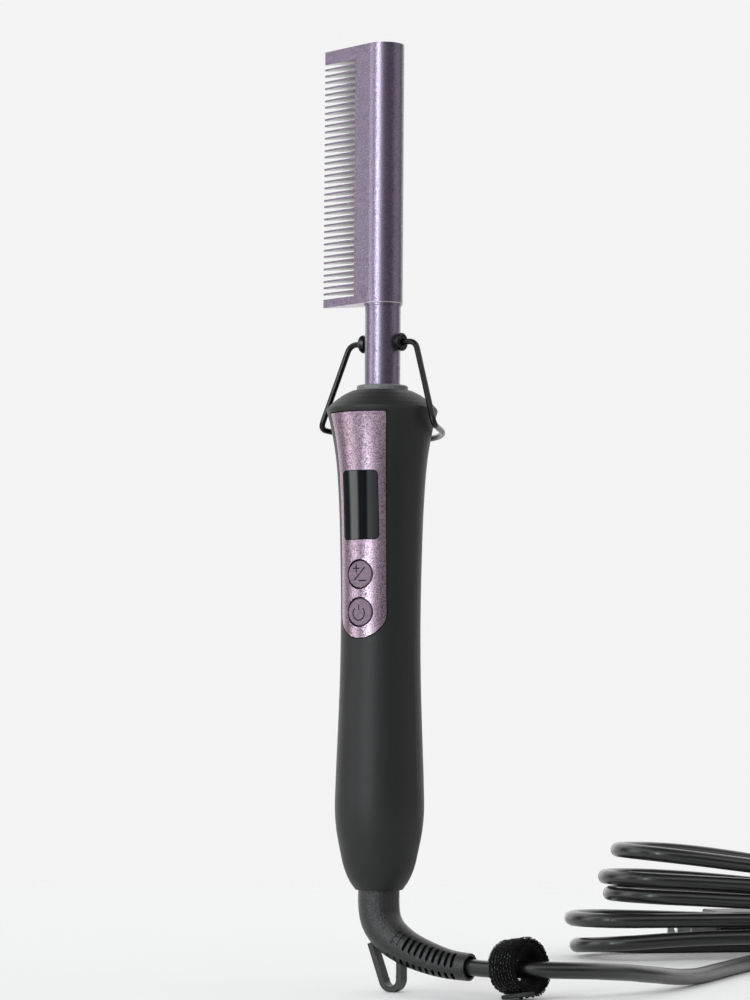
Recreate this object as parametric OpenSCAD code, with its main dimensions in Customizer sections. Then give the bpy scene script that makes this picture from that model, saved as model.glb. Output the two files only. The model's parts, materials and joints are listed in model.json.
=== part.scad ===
/* [Comb head] */
// Length of the comb head along the handle's axis
head_len = 87.6; // [86:0.2:90]
// Diameter of the heated barrel that forms the spine of the comb
barrel_d = 13.3; // [13:0.1:13.6]
// Distance from the barrel's axis to the tips of the teeth
tooth_reach = 23.7; // [22:0.1:26]
// Thickness of the teeth at their tips
tip_thickness = 1.2; // [0.8:0.1:2]
// Number of teeth between the two end plates
tooth_count = 37; // [30:1:38]
// Width of the slot between two teeth
slot_w = 1.48; // [1.3:0.02:1.6]
// Distance from the barrel's axis to the bottom of the slots
slot_root = 8.5; // [8:0.1:10]
// Height of the solid plate above the first slot
top_margin = 4.4; // [3:0.1:6]
// Height of the solid plate below the last slot
bottom_margin = 2.8; // [2:0.1:5]

/* [Neck] */
// Outer diameter of the steel neck tube
neck_d = 12; // [11.8:0.1:12.4]
// Inner diameter of the neck tube
neck_bore_d = 8; // [7.8:0.1:8.4]
// Length of the neck that shows between the collar and the comb head
neck_len = 27.6; // [26:0.2:30]
// Diameter of the collar on top of the handle
collar_d = 17.2; // [16.8:0.1:18]

/* [Handle] */
// Length of the handle shell
handle_len = 165.7; // [165:0.1:167]
// Diameter of the flare under the shoulder
flare_d = 37.2; // [36.8:0.1:38]
// Diameter of the waist, the slimmest place of the grip
waist_d = 26.6; // [26.4:0.1:27.4]
// Diameter of the swelling above the lower end
bulge_d = 29.7; // [29:0.1:31]
// Wall thickness of the handle shell
wall = 2.2; // [2:0.1:2.3]

/* [Control panel] */
// Thickness of the control panel
panel_t = 1.7; // [1.5:0.1:1.8]
// Width of the dark joint line around the panel
panel_gap = 0.25; // [0.1:0.05:0.4]
// Width of the display window
window_w = 13.7; // [13.4:0.1:14]
// Height of the display window
window_h = 22.9; // [22.4:0.1:23.2]
// Diameter of the two push buttons
button_d = 9.4; // [9:0.1:9.6]
// Travel of the push buttons
button_travel = 0.5; // [0.3:0.1:0.5]

/* [Stand] */
// Diameter of the stand's wire
wire_d = 2; // [1.8:0.1:2.2]
// Radius of the bow behind the handle, at the middle of the wire
bow_r = 20.2; // [20:0.1:22]
// Height of the stand's pivot above the collar
pivot_rise = 14.4; // [13:0.1:16]

/* [Strain relief] */
// Diameter of the elbow where it turns in the handle
elbow_d = 13.76; // [13.6:0.02:13.8]
// Diameter of the elbow at its cord end
elbow_tip_d = 9; // [8.6:0.1:9.6]
// Distance from the handle's axis to the elbow's cord end
elbow_reach = 35.5; // [34:0.1:37]
// Number of deep slots in each row of the elbow
flex_slots = 9; // [6:1:10]
// Width of one slot along the elbow
flex_slot_w = 1.2; // [1:0.05:1.3]
// Distance from one slot to the next
flex_pitch = 2.34; // [2.2:0.02:2.4]
// Width of the hang loop's band
loop_w = 3.8; // [3:0.1:5]

/* [Cord] */
// Diameter of the mains cord
cord_d = 5.5; // [5.4:0.05:5.6]
// Length of the plug's moulded body
plug_len = 27; // [24:0.5:30]
// Outer diameter of the cord tie
tie_d = 18.4; // [18:0.2:19.6]
// Width of the cord tie's strap
tie_w = 10.4; // [9.6:0.2:11]

/* [Hidden] */
$fn = 64;
eps = 0.01;

// Heights above the floor, from the hang loop upward.
handle_z = 33.4;
shoulder_z = handle_z + handle_len;
collar_h = 1.9;
head_z = shoulder_z + collar_h + neck_len;
pivot_z = shoulder_z + collar_h + pivot_rise;
flare_z = shoulder_z - 6.7;

// The origin is the middle of the comb's footprint, so the handle's axis stands beside it.
axis_x = (tooth_reach - elbow_reach) / 2;
axis_y = (flare_d / 2 - bow_r - wire_d / 2) / 2;

// Radii
barrel_r = barrel_d / 2;
neck_r = neck_d / 2;
neck_bore_r = neck_bore_d / 2;
wire_r = wire_d / 2;
cord_r = cord_d / 2;
elbow_r = elbow_d / 2;
button_r = button_d / 2;

function mix(a, b, t) = a + (b - a) * t;
function unit(v) = v / norm(v);
function clamp_index(points, i) = max(0, min(len(points) - 1, i));

// A curve through [position, value] pairs, with a slope at each pair from its two neighbours.
function secant(p, i) = (p[i + 1][1] - p[i][1]) / (p[i + 1][0] - p[i][0]);
function slope(p, i) =
    i == 0 ? secant(p, 0)
    : i == len(p) - 1 ? secant(p, i - 1)
    : let (before = p[i][0] - p[i - 1][0], after = p[i + 1][0] - p[i][0])
      (secant(p, i - 1) * after + secant(p, i) * before) / (before + after);
function curve_value(p, i, t) =
    let (step = p[i + 1][0] - p[i][0], t2 = t * t, t3 = t2 * t)
    (2 * t3 - 3 * t2 + 1) * p[i][1] + (t3 - 2 * t2 + t) * step * slope(p, i)
    + (3 * t2 - 2 * t3) * p[i + 1][1] + (t3 - t2) * step * slope(p, i + 1);
function curve(p, steps) = concat(
    [for (i = [0 : len(p) - 2], k = [0 : steps - 1])
        [mix(p[i][0], p[i + 1][0], k / steps), curve_value(p, i, k / steps)]],
    [p[len(p) - 1]]);

// A smooth path through points in space.
function path_point(p, i, t) =
    let (a = p[clamp_index(p, i - 1)], b = p[i], c = p[i + 1], d = p[clamp_index(p, i + 2)])
    0.5 * (2 * b + (c - a) * t + (2 * a - 5 * b + 4 * c - d) * t * t
           + (3 * b - a - 3 * c + d) * t * t * t);
function smooth_path(p, steps) = concat(
    [for (i = [0 : len(p) - 2], k = [0 : steps - 1]) path_point(p, i, k / steps)],
    [p[len(p) - 1]]);

// A tube along a path. The ring's first direction is carried along without twist.
function tangent(p, i) = unit(p[clamp_index(p, i + 1)] - p[clamp_index(p, i - 1)]);
function square_to(v, t) = unit(v - (v * t) * t);
function ring_directions(p, first) =
    [for (i = 0, n = square_to(first, tangent(p, 0)); i < len(p);
          i = i + 1, n = square_to(n, tangent(p, min(i, len(p) - 1)))) n];

module sweep(path, radii, sides, first) {
    normals = ring_directions(path, first);
    last = len(path) - 1;
    points = [for (i = [0 : last], k = [0 : sides - 1])
        let (n = normals[i], b = cross(tangent(path, i), n), a = 360 * k / sides,
             r = is_list(radii) ? radii[i] : radii)
        path[i] + r * (cos(a) * n + sin(a) * b)];
    walls = [for (i = [0 : last - 1], k = [0 : sides - 1])
        let (m = (k + 1) % sides)
        [i * sides + k, (i + 1) * sides + k, (i + 1) * sides + m, i * sides + m]];
    start_cap = [[for (k = [0 : sides - 1]) k]];
    end_cap = [[for (k = [sides - 1 : -1 : 0]) last * sides + k]];
    polyhedron(points = points, faces = concat(walls, start_cap, end_cap), convexity = 10);
}

// Places what is drawn around the handle's axis in the part's own frame.
module on_axis() {
    translate([axis_x, axis_y, 0]) children();
}

// Draws a cylinder that points to the front, from y = front to y = back.
module toward_front(x, z, front, back, r) {
    translate([x, back, z]) rotate([90, 0, 0]) cylinder(h = back - front, r = r);
}

// A block with round edges along the y axis.
module rounded_block(w, h, corner, front, back) {
    for (x = [-1, 1], z = [-1, 1]) {
        toward_front(x * (w / 2 - corner), z * (h / 2 - corner), front, back, corner);
    }
    translate([-w / 2 + corner, front, -h / 2]) cube([w - 2 * corner, back - front, h]);
    translate([-w / 2, front, -h / 2 + corner]) cube([w, back - front, h - 2 * corner]);
}

// ---- The comb head and what heats it ----

tooth_pitch = (head_len - top_margin - bottom_margin - slot_w) / tooth_count;
tip_half = tip_thickness / 2;
// Angle between the comb's middle plane and its sides, where they leave the barrel
flank_angle = asin(barrel_r / norm([tooth_reach, tip_half])) - atan(tip_half / tooth_reach);
heater_bore_r = 4.3;
spigot_r = 5;
spigot_len = 11.4;
heater_len = 60;
heater_z = head_z + spigot_len + 4;

module comb_section() {
    circle(r = barrel_r);
    polygon([[-barrel_r * sin(flank_angle), barrel_r * cos(flank_angle)],
             [-tooth_reach, tip_half],
             [-tooth_reach, -tip_half],
             [-barrel_r * sin(flank_angle), -barrel_r * cos(flank_angle)]]);
}

module tooth_slot() {
    reach = tooth_reach - slot_root + 1;
    translate([-tooth_reach - 1, -barrel_r, 0]) cube([reach - slot_w / 2, 2 * barrel_r, slot_w]);
    translate([-slot_root - slot_w / 2, barrel_r, slot_w / 2]) rotate([90, 0, 0])
        cylinder(h = 2 * barrel_r, r = slot_w / 2, $fn = 24);
}

module comb_head() {
    color("#82738c") on_axis() difference() {
        union() {
            translate([0, 0, head_z]) linear_extrude(head_len) comb_section();
            translate([0, 0, head_z - 0.8]) cylinder(h = 0.8 + eps, r = barrel_r - 0.25);
        }
        translate([0, 0, head_z - 2]) cylinder(h = spigot_len + 2, r = spigot_r);
        translate([0, 0, head_z]) cylinder(h = spigot_len + heater_len + 6, r = heater_bore_r);
        for (i = [0 : tooth_count]) {
            translate([0, 0, head_z + bottom_margin + i * tooth_pitch]) tooth_slot();
        }
    }
}

// Flat ceramic heating element that stands in the barrel's bore.
module heater_element() {
    color("#d8d2c4") on_axis() translate([-3.2, -1.1, heater_z]) cube([6.4, 2.2, heater_len]);
}

// Two half-round shoes press the element against the bore.
module heater_shoes() {
    color("#b8bcc0") on_axis() for (side = [0, 180]) rotate([0, 0, side]) intersection() {
        translate([0, 0, heater_z]) cylinder(h = heater_len, r = heater_bore_r - 0.1);
        translate([-5, 1.2, heater_z - 1]) cube([10, 5, heater_len + 2]);
    }
}

module temperature_sensor() {
    color("#3a2a20") on_axis() translate([0, 1.6, heater_z - 3.4]) cylinder(h = 3, r = 0.9);
}

board_back = -5.7;
board_front = -6.9;

// A pair of leads that run down the neck and bend forward to the back of the board.
module neck_leads(x, y, top, joint_z, r) {
    for (side = [-1, 1]) {
        route = [[side * x, y, top], [side * x, y, shoulder_z - 9], [side * x, y - 0.6, joint_z + 5],
                 [side * x, board_back + 1.6, joint_z + 0.6], [side * x, board_back + 0.05, joint_z]];
        sweep(smooth_path(route, 4), r, 8, [1, 0, 0]);
    }
}

module heater_leads() {
    color("#f0f0ee") on_axis() neck_leads(2.4, 0, heater_z - 0.05, 177, 0.7);
}

module sensor_leads() {
    color("#c8b040") on_axis() neck_leads(0.5, 1.6, heater_z - 3.45, 173, 0.35);
}

// ---- Neck, collar and the wire stand ----

boss_face = 8.4;
boss_shank_r = 2.2;
boss_bore_r = wire_r + 0.05;

module neck_tube() {
    color("#7c6c88") on_axis() difference() {
        union() {
            translate([0, 0, shoulder_z - 15]) cylinder(h = head_z - shoulder_z + 15 - 0.8, r = neck_r);
            translate([0, 0, head_z - 1]) cylinder(h = spigot_len + 1, r = spigot_r);
            translate([0, 0, shoulder_z - 12.1]) cylinder(h = 2, r = 8.6);
        }
        translate([0, 0, shoulder_z - 16]) cylinder(h = head_z - shoulder_z + 40, r = neck_bore_r);
        translate([-neck_r - 1, 0, pivot_z]) rotate([0, 90, 0])
            cylinder(h = 2 * neck_r + 2, r = boss_shank_r);
    }
}

// Heat-resistant bush between the neck and the handle.
module neck_collar() {
    color("#6e6e70") on_axis() difference() {
        union() {
            translate([0, 0, shoulder_z]) cylinder(h = collar_h - 0.4, r = collar_d / 2);
            translate([0, 0, shoulder_z + collar_h - 0.4])
                cylinder(h = 0.4, r1 = collar_d / 2, r2 = collar_d / 2 - 0.4);
            translate([0, 0, shoulder_z - 10]) cylinder(h = 10 + eps, r = 7.55);
        }
        translate([0, 0, shoulder_z - 11]) cylinder(h = 20, r = neck_r);
    }
}

// One domed boss: a flanged bush whose shank goes through the neck's wall.
module pivot_boss() {
    edge = 0.8;
    rotate([0, 90, 0]) rotate_extrude() polygon(concat(
        [[boss_bore_r, neck_bore_r + 0.2], [boss_shank_r, neck_bore_r + 0.2],
         [boss_shank_r, neck_r + 0.3], [2.7, neck_r + 0.3]],
        [for (a = [0 : 15 : 90]) [2.3 + edge * cos(a), boss_face - edge + edge * sin(a)]],
        [[boss_bore_r + 0.5, boss_face], [boss_bore_r, boss_face - 0.5]]));
}

module pivot_bosses() {
    color("#1a1a1c") on_axis() translate([0, 0, pivot_z]) {
        pivot_boss();
        mirror([1, 0, 0]) pivot_boss();
    }
}

// The stand's wire, as half of its route: along the pivot, down the arm and round the bow.
arm_top = [13, 0, pivot_z];
arm_foot = [22.6, -3.4, shoulder_z - 12.1];
bow_drop = 0.12;
bow_start = asin(bow_r / norm([arm_foot[0], arm_foot[1]]));
bow_from = atan2(arm_foot[1], arm_foot[0]) + 90 - bow_start;
function bow_point(a) =
    let (x = bow_r * cos(a), y = bow_r * sin(a)) [x, y, arm_foot[2] - bow_drop * (y - arm_foot[1])];
// A corner is replaced by an arc-like run of points that starts and ends at a distance from it.
function corner(a, b, c, reach) =
    [for (t = [0 : 0.2 : 1])
        let (p = b + reach * unit(a - b), q = b + reach * unit(c - b))
        (1 - t) * (1 - t) * p + 2 * t * (1 - t) * b + t * t * q];
function half_route() = concat(
    corner([0, 0, pivot_z], arm_top, arm_foot, 2.6),
    corner(arm_top, arm_foot, bow_point(bow_from), 2.6),
    [for (a = [bow_from : (90 - bow_from) / 9 : 90 - eps]) bow_point(a)]);
function mirrored(route) =
    [for (i = [len(route) - 1 : -1 : 0]) [-route[i][0], route[i][1], route[i][2]]];

module stand_wire() {
    right = half_route();
    route = concat(right, [bow_point(90)], mirrored(right));
    pin_len = right[0][0] - neck_bore_r - 0.3;
    color("#141416") on_axis() {
        sweep(route, wire_r, 12, [0, 0, 1]);
        for (side = [-1, 1]) {
            translate([side * (neck_bore_r + 0.3 + pin_len / 2), 0, pivot_z]) rotate([0, 90, 0])
                cylinder(h = pin_len, r = wire_r, center = true);
        }
    }
}

// ---- The handle ----

// Outline of the grip, from the lower end to the flare: [height, radius].
waist_r = waist_d / 2;
flare_r = flare_d / 2;
bulge_r = bulge_d / 2;
grip_points = [
    [handle_z, 7.9], [handle_z + 2.6, 9.7], [handle_z + 6.6, 11.5], [handle_z + 13, bulge_r - 1.8],
    [handle_z + 19.6, bulge_r - 0.55], [handle_z + 26, bulge_r], [handle_z + 33, bulge_r - 0.1],
    [handle_z + 50, mix(waist_r, bulge_r, 0.54)], [handle_z + 70, mix(waist_r, bulge_r, 0.12)],
    [handle_z + 90, waist_r], [handle_z + 110, waist_r + 0.3], [handle_z + 130, waist_r + 1],
    [flare_z - 16, mix(waist_r, flare_r, 0.38)], [flare_z - 8, mix(waist_r, flare_r, 0.625)],
    [flare_z - 1.6, flare_r - 0.5], [flare_z, flare_r]];
grip_curve = curve(grip_points, 3);
shoulder_points = [[flare_z, flare_r], [flare_z + 0.8, flare_r - 0.25], [flare_z + 2.2, flare_r - 1.5],
                   [flare_z + 3.8, flare_r - 3.4], [flare_z + 5.4, flare_r - 5.7], [shoulder_z, 10.3]];
function grip_r(z) = lookup(z, grip_curve);

ledge_z = shoulder_z - 10.1;
floor_z = handle_z + 4.6;

// Solid of revolution under the grip's outline, moved inward by an inset, between two heights.
module grip_solid(inset, from, to) {
    inside = [for (p = grip_curve) if (p[0] > from && p[0] < to) [p[1] - inset, p[0]]];
    rotate_extrude() polygon(concat(
        [[0, from], [grip_r(from) - inset, from]], inside, [[grip_r(to) - inset, to], [0, to]]));
}

// Outline of the control panel from the front. It follows two meridians of the grip.
panel_top = flare_z - 1.3;
panel_turn = handle_z + 90.9;
panel_end = handle_z + 83;
function panel_half(z) =
    grip_r(z) * sin(mix(41, 36.8, (z - panel_turn) / (panel_top - panel_turn)));
module panel_prism(grow, back) {
    half = panel_half(panel_turn) + grow;
    heights = [for (k = [0 : 10]) mix(panel_turn, panel_top + grow, k / 10)];
    right = [for (z = heights) [panel_half(z) + grow, z]];
    left = [for (k = [10 : -1 : 0]) [-panel_half(heights[k]) - grow, heights[k]]];
    end = [for (a = [10 : 10 : 170])
        [-half * cos(a), panel_turn - (panel_turn - panel_end + grow) * sin(a)]];
    translate([0, back, 0]) rotate([90, 0, 0]) linear_extrude(30 + back)
        polygon(concat(right, left, end));
}

window_z = handle_z + 127;
button_z = [handle_z + 104.1, handle_z + 91.6];

module handle_shell() {
    outline = concat([[0, handle_z]], [for (p = grip_curve) [p[1], p[0]]],
        [for (i = [1 : len(shoulder_points) - 1]) [shoulder_points[i][1], shoulder_points[i][0]]],
        [[0, shoulder_z]]);
    color("#333334") on_axis() difference() {
        rotate_extrude() polygon(outline);
        grip_solid(wall, floor_z, ledge_z);
        translate([0, 0, handle_z - 1]) cylinder(h = 8, r = elbow_r + 0.07);
        translate([0, 0, shoulder_z - 12]) cylinder(h = 20, r = 7.6);
        difference() {
            panel_prism(panel_gap, 0);
            grip_solid(panel_t + 0.05, handle_z + 60, flare_z - 0.1);
        }
        panel_prism(-1.4, -2);
    }
}

module control_panel() {
    color("#8a6f86") on_axis() difference() {
        intersection() {
            grip_solid(0, handle_z + 78, flare_z - 0.1);
            panel_prism(0, 0);
        }
        grip_solid(panel_t, handle_z + 70, flare_z - 0.05);
        translate([0, 0, window_z]) rounded_block(window_w, window_h, 1.5, -25, 0);
        for (z = button_z) toward_front(0, z, -25, 0, button_r + 0.2);
    }
}

// Glass-clear lens in front of the display, flush with the panel.
module display_window() {
    color("#101418") on_axis() difference() {
        intersection() {
            grip_solid(0, window_z - 15, window_z + 15);
            translate([0, 0, window_z]) rounded_block(window_w - 0.3, window_h - 0.3, 1.35, -25, 0);
        }
        grip_solid(1.5, window_z - 20, window_z + 20);
    }
}

module lcd_module() {
    color("#5a6a60") on_axis() difference() {
        translate([-6.5, -10, window_z - 10.8]) cube([13, 3.1, 21.6]);
        translate([-5.6, -11, window_z - 9.6]) cube([11.2, 1.3, 19.2]);
    }
}

board_from = handle_z + 41;
board_to = handle_z + 147.6;
screw_x = 6;
screw_z = [handle_z + 55, handle_z + 112.8];
board_screws = [for (x = [-1, 1], z = screw_z) [x * screw_x, z]];

module circuit_board() {
    color("#1f5a38") on_axis() difference() {
        translate([-8, board_front, board_from])
            cube([16, board_back - board_front, board_to - board_from]);
        for (s = board_screws) toward_front(s[0], s[1], -8, -5, 1.1);
    }
}

// Parts soldered to the board: a capacitor, a triac, a controller and a buzzer.
module board_parts() {
    color("#26282a") on_axis() {
        translate([-3.5, board_front - 2.9, handle_z + 61]) cube([7, 2.9, 9]);
        translate([-4, board_front - 1.6, handle_z + 73]) cube([8, 1.6, 6]);
        toward_front(0, handle_z + 47, board_front - 2.6, board_front, 3);
        translate([-3, board_back, handle_z + 64]) cube([6, 1.2, 6]);
    }
}

// Moulded tray that holds the board off the back of the handle.
module board_carrier() {
    from = handle_z + 50.6;
    to = handle_z + 134.6;
    color("#3c3c40") on_axis() difference() {
        union() {
            translate([-10.2, -3.9, from]) cube([20.4, 1.6, to - from]);
            for (x = [-9.2, 7.8]) translate([x, -2.3, from]) cube([1.4, 4, to - from]);
            for (s = board_screws) toward_front(s[0], s[1], board_back, -2, 2.2);
        }
        for (s = board_screws) toward_front(s[0], s[1], -6, -1, 1.05);
        translate([-5, -5, handle_z + 75]) cube([10, 4, 24]);
    }
}

module carrier_screws() {
    color("#b0b0b0") on_axis() for (s = board_screws) {
        toward_front(s[0], s[1], board_front, -2.6, 1);
        toward_front(s[0], s[1], board_front - 1.3, board_front, 1.9);
    }
}

// ---- Push buttons ----

switch_h = 1.8;
plunger_r = 1.75;
button_back = board_front - switch_h - 0.7;

module tact_switches() {
    color("#202224") on_axis() for (z = button_z) difference() {
        translate([-3, board_front - switch_h, z - 3]) cube([6, switch_h, 6]);
        toward_front(0, z, board_front - switch_h - 1, board_front - 0.2, plunger_r + 0.1);
    }
}

// A flat cap with a bevelled edge. Its sides stand a little proud of the round panel, and a wider
// skirt behind the panel keeps it in.
cap_bevel = 0.35;
cap_proud = 0.25;
skirt_t = 0.7;
skirt_r = button_r + 0.5;
function cap_front(z) = -sqrt(grip_r(z) ^ 2 - button_r ^ 2) - cap_proud;

module button_cap(z) {
    front = cap_front(z);
    skirt_front = button_back - skirt_t;
    translate([0, 0, z]) rotate([-90, 0, 0]) rotate_extrude() polygon(
        [[0, front], [button_r - cap_bevel, front], [button_r, front + cap_bevel],
         [button_r, skirt_front], [skirt_r, skirt_front], [skirt_r, button_back], [0, button_back]]);
}

module switch_plunger(z) {
    toward_front(0, z, button_back, board_front - 0.3 - button_travel, plunger_r);
}

module temperature_button() {
    color("#8a6f86") on_axis() button_cap(button_z[0]);
}

module temperature_plunger() {
    color("#d8d8d0") on_axis() switch_plunger(button_z[0]);
}

module power_button() {
    color("#8a6f86") on_axis() button_cap(button_z[1]);
}

module power_plunger() {
    color("#d8d8d0") on_axis() switch_plunger(button_z[1]);
}

// ---- The cord's swivel ----

block_z = handle_z + 17;
groove_z = floor_z + 0.1;
groove_h = 1.4;
head_top = groove_z + groove_h + 3.2;

// Insulating disc that wedges in the narrowing handle and carries the sliding contacts.
module contact_block() {
    color("#c8b890") on_axis() translate([0, 0, block_z])
        cylinder(h = 4, r = grip_r(block_z) - wall - 0.05);
}

module contact_springs() {
    color("#c89858") on_axis() {
        translate([3.3, -1, head_top + 3.3]) cube([1, 2, block_z - head_top - 3.3]);
        translate([-0.5, -1, head_top + 6.3]) cube([1, 2, block_z - head_top - 6.3]);
    }
}

module mains_leads() {
    joint_z = handle_z + 45;
    color("#5a3a28") on_axis() for (x = [-3, 3]) {
        route = [[x, 1, block_z + 4.1], [x, 1, block_z + 10], [x, -2, joint_z - 5],
                 [x, board_back + 1.6, joint_z - 0.6], [x, board_back + 0.05, joint_z]];
        sweep(smooth_path(route, 4), 0.8, 8, [1, 0, 0]);
    }
}

module swivel_contacts() {
    color("#d0a850") on_axis() {
        translate([0, 0, head_top]) cylinder(h = 6, r = 1.3);
        translate([0, 0, head_top]) difference() {
            cylinder(h = 3, r = 4.4);
            translate([0, 0, -1]) cylinder(h = 5, r = 3.2);
        }
    }
}

module swivel_clip() {
    color("#c0c4c8") on_axis() translate([0, 0, groove_z + 0.05]) difference() {
        cylinder(h = groove_h - 0.1, r = 8);
        translate([0, 0, -1]) cylinder(h = 4, r = 5.45);
        translate([-2.2, -9, -1]) cube([4.4, 9, 4]);
    }
}

// ---- Elbow strain relief with its hang loop ----

// Middle line of the elbow in its own plane: [x, z, radius].
elbow_line = [
    [0, handle_z, elbow_r], [0, 28.5, elbow_r], [0.9, 23.5, 6.75], [3.9, 19.2, 6.4],
    [9, 15.7, 5.95], [14.5, 13.4, 5.6], [21, 11.5, 5.2], [28, 10.1, 4.75],
    [elbow_reach, 9.6, elbow_tip_d / 2]];
elbow_path = smooth_path([for (p = elbow_line) [p[0], 0, p[1]]], 3);
elbow_radii = [for (p = smooth_path([for (p = elbow_line) [p[2], 0, 0]], 3)) p[0]];
elbow_last = len(elbow_path) - 1;
tip_angle = atan2(elbow_line[8][1] - elbow_line[7][1], elbow_line[8][0] - elbow_line[7][0]);
recess_depth = 2;

// Way along the middle line from the handle to each point of the path.
elbow_run = [for (i = 0, s = 0; i <= elbow_last;
                  i = i + 1, s = i > elbow_last ? s : s + norm(elbow_path[i] - elbow_path[i - 1])) s];
function elbow_index(run) = lookup(run, [for (i = [0 : elbow_last]) [elbow_run[i], i]]);
function elbow_radius(run) = lookup(run, [for (i = [0 : elbow_last]) [elbow_run[i], elbow_radii[i]]]);

// Draws children at a way along the elbow, with x along its middle line.
module along_elbow(run) {
    position = elbow_index(run);
    i = floor(position);
    t = mix(tangent(elbow_path, i), tangent(elbow_path, i + 1), position - i);
    translate(mix(elbow_path[i], elbow_path[i + 1], position - i))
        rotate([0, -atan2(t[2], t[0]), 0]) children();
}

// One row of flexing slots with round ends. The row sits at an angle round the elbow. The slots
// next to the handle are only marked in its skin, the others are cut deep.
flex_end = 4.4;
marked_slots = 2;
deep_cut = 1.7;
marked_cut = 0.3;
module slot_cutter(angle, width, r) {
    rotate([angle, 0, 0]) translate([flex_slot_w / 2, -width / 2, r - deep_cut])
        linear_extrude(deep_cut + 2) rotate(90) stadium(width, flex_slot_w);
}
module slot_row(angle, width) {
    for (k = [0 : flex_slots + marked_slots - 1]) {
        run = elbow_run[elbow_last] - flex_end - k * flex_pitch;
        r = elbow_radius(run);
        along_elbow(run) if (k < flex_slots) {
            slot_cutter(angle, width, r);
        } else difference() {
            slot_cutter(angle, width, r);
            rotate([0, 90, 0]) cylinder(h = 2 * flex_slot_w, r = r - marked_cut, center = true);
        }
    }
}

loop_r = 4.35;
loop_t = 1.9;
loop_x = 5.7;

module hang_loop() {
    lean = 21;
    translate([0, loop_w / 2, 0]) rotate([90, 0, 0]) linear_extrude(loop_w) difference() {
        union() {
            translate([loop_x, loop_r]) circle(r = loop_r);
            translate([loop_x, loop_r]) rotate(lean) translate([-loop_r, 0]) square([loop_t, 13.6]);
            translate([loop_x + loop_r - loop_t, loop_r]) square([loop_t, 6.5]);
        }
        translate([loop_x, loop_r]) circle(r = loop_r - loop_t);
        translate([loop_x, loop_r]) intersection() {
            rotate(lean) translate([-loop_r + loop_t, 0]) square([9, 6]);
            translate([-8, 0]) square([8 + loop_r - loop_t, 6]);
        }
    }
}

module strain_relief() {
    color("#1c1c1d") on_axis() difference() {
        union() {
            sweep(elbow_path, elbow_radii, 32, [1, 0, 0]);
            hang_loop();
            translate([0, 0, handle_z]) cylinder(h = groove_z - handle_z, r = elbow_r);
            translate([0, 0, groove_z - eps]) cylinder(h = groove_h + 2 * eps, r = 5.4);
            translate([0, 0, groove_z + groove_h]) cylinder(h = 3.2, r = 6.6);
        }
        for (side = [-1, 1]) {
            slot_row(side * 60, 5.2);
            slot_row(side * 138, 3.3);
        }
        translate([elbow_reach, 0, 9.6]) rotate([0, 90 - tip_angle, 0])
            translate([0, 0, -recess_depth]) cylinder(h = recess_depth + 2, r = elbow_tip_d / 2 - 0.8);
    }
}

// ---- The cord, its plug and its tie ----

// Route of the cord from the elbow to the hank: it bows a little, sinks and runs on the floor.
cord_start = [elbow_reach, 0, 9.6] - recess_depth * [cos(tip_angle), 0, sin(tip_angle)];
lead_route = [cord_start, [40, 0, 9.4], [47, 0.3, 9.4], [54, 1.7, 9.7], [60.4, 4.5, 9.7],
              [67.1, 10, 9.5], [71.9, 17.4, 9.1], [74.8, 25.6, 8.4], [76.3, 34.3, 7.6],
              [76.9, 43, 6.6], [76.9, 51.8, 5.7], [76.3, 60.5, 4.7], [75.4, 69.3, 3.9],
              [74.3, 78, 3.3], [73, 86.6, 2.9], [71.6, 95.3, 2.75], [70, 103.9, 2.75],
              [68.5, 112.5, 2.75], [66.9, 121.2, 2.75], [65.4, 129.8, 2.75], [63.9, 138.4, 2.75],
              [62.5, 147.1, 2.75], [61.3, 155.8, 2.75], [60.3, 164.5, 2.75], [59.7, 173.3, 2.75],
              [59.5, 182, 2.75], [60, 190.8, 2.75], [61.5, 199.4, 2.75], [64.4, 207.7, 2.75]];

// The hank lies behind the comb. Its own x runs along it, its y away from the comb.
hank_angle = 45;
hank_len = 126;
hank_w = 46;
hank_from = 98;
hank_near = 100;
// The turns lie on each other in three steps: [distance of the step's left end, its top].
hank_steps = [[0, 20.5], [13, 34], [18, 43.2]];

module in_hank_frame() {
    on_axis() rotate([0, 0, hank_angle]) children();
}

// An outline with round ends, from x = 0 to a length.
module stadium(length, width) {
    for (x = [width / 2, length - width / 2]) translate([x, width / 2]) circle(r = width / 2);
    translate([width / 2, 0]) square([length - width, width]);
}

module cord_tube() {
    color("#18181a") on_axis() sweep(lead_route, cord_r, 10, [0, 1, 0]);
}

module cord_hank() {
    color("#18181a") in_hank_frame() for (s = hank_steps) {
        translate([hank_from + s[0], hank_near, 0]) linear_extrude(s[1])
            stadium(hank_len - s[0], hank_w);
    }
}

// The last stretch leaves the top of the hank, turns back behind it and ends in the plug.
tail_route = [[201, 102.8, 33], [208.5, 102.7, 33], [216, 102.8, 32.6], [223.5, 103.3, 31.6],
              [231, 104.6, 29.8], [238.3, 107.3, 27.3], [244.9, 111.8, 24.1], [250.2, 118, 20.6],
              [253.6, 125.6, 16.9], [254.5, 133.5, 13.4], [252.7, 141.2, 10.3], [248.4, 147.9, 7.7],
              [242.3, 153.1, 5.7], [235, 156.8, 4.6], [227.8, 159.3, 4.9], [220.8, 160.5, 6.1],
              [214, 160.8, 7.2]];
plug_y = 160.8;
plug_z = 7.5;
plug_back = 214;
sleeve_len = 20;
block_w = 24;
block_h = 15;
plug_front = plug_back - sleeve_len - plug_len;
blade_gap = 12.7;
blade_t = 1.52;
blade_w = 6.35;
blade_len = 15.9;
blade_socket = 8;
blade_hole_r = 1.59;
blade_hole_x = 11.7;
groove_count = 4;
groove_pitch = 4;
sleeve_slot_pitch = 3.4;

module cord_tail() {
    color("#18181a") in_hank_frame() sweep(tail_route, cord_r, 10, [0, 1, 0]);
}

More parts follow.
